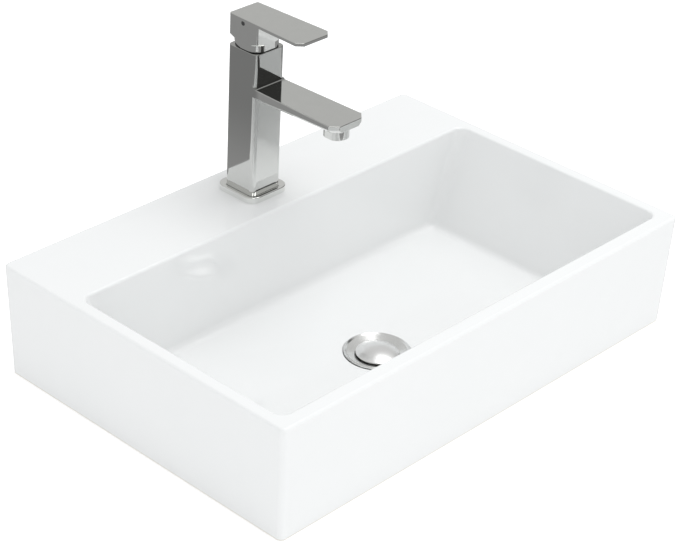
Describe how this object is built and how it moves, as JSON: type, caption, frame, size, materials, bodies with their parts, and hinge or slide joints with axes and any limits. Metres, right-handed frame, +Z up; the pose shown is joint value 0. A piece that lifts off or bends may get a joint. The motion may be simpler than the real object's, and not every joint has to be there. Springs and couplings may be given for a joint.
{
  "type": "countertop basin",
  "caption": "Rectangular glazed ceramic countertop basin with a wide tap ledge, a square single-lever mixer tap with a flat spout, and a click waste in the floor",
  "frame": {"origin": "centre of the basin's flat underside, on the counter", "axes": "+X along the front, to the right of the person washing; +Y from the front to the tap ledge; +Z up from the counter"},
  "size_m": [0.5998, 0.3998, 0.394],
  "materials": {
    "glaze": "fired glossy glaze",
    "chrome": "bright chrome plate",
    "brass": "machined, dull",
    "copper": "drawn copper tube",
    "steel": "stainless, turned",
    "rubber": "moulded, matt",
    "black_plastic": "moulded, fine texture",
    "white_plastic": "moulded, fine texture",
    "disc_ceramic": "lapped technical ceramic"
  },
  "bodies": {
    "stand": {"basin": "glaze", "waste_body": "chrome", "waste_upper_gasket": "rubber", "waste_lower_gasket": "rubber", "waste_washer": "black_plastic", "waste_back_nut": "brass", "click_sleeve": "black_plastic", "plug_spring": "steel", "tap_body": "chrome", "base_ring": "chrome", "base_seal": "rubber", "mounting_insert": "brass", "supply_tubes": "copper", "mounting_stud": "steel", "horseshoe_gasket": "rubber", "horseshoe_plate": "steel", "stud_nut": "brass", "aerator_housing": "chrome", "aerator_insert": "white_plastic", "aerator_seal": "rubber", "cartridge_seals": "rubber", "cartridge_body": "white_plastic", "fixed_disc": "disc_ceramic", "cartridge_nut": "brass", "dome_cap": "chrome", "slip_ring": "black_plastic"},
    "swivel": {"cartridge_rotor": "white_plastic", "pivot_pin": "steel"},
    "lever": {"handle": "chrome", "cartridge_stem": "steel", "grub_screw": "steel", "index_plug": "black_plastic"},
    "disc": {"moving_disc": "disc_ceramic", "disc_carrier": "white_plastic"},
    "plug": {"plug_cap": "chrome", "plug_seal": "rubber", "plug_plunger": "brass"}
  },
  "joints": [
    {"name": "temperature_turn", "type": "hinge", "parent": "stand", "child": "swivel", "pos_m": [0, 0.148, 0.308], "axis": [0, 0, 1], "range_deg": [-45, 45]},
    {"name": "flow_lift", "type": "hinge", "parent": "swivel", "child": "lever", "pos_m": [0, 0.148, 0.308], "axis": [-1, 0, 0], "range_deg": [0, 18]},
    {"name": "disc_slide", "type": "slide", "parent": "swivel", "child": "disc", "axis": [0, -1, 0], "range_m": [0, 0.0054]},
    {"name": "plug_lift", "type": "slide", "parent": "stand", "child": "plug", "axis": [0, 0, 1], "range_m": [0, 0.008], "deforming": ["plug_spring"]}
  ],
  "couplings": [
    {"joint": "disc_slide", "follows": "flow_lift", "m_per_rad": 0.017}
  ]
}
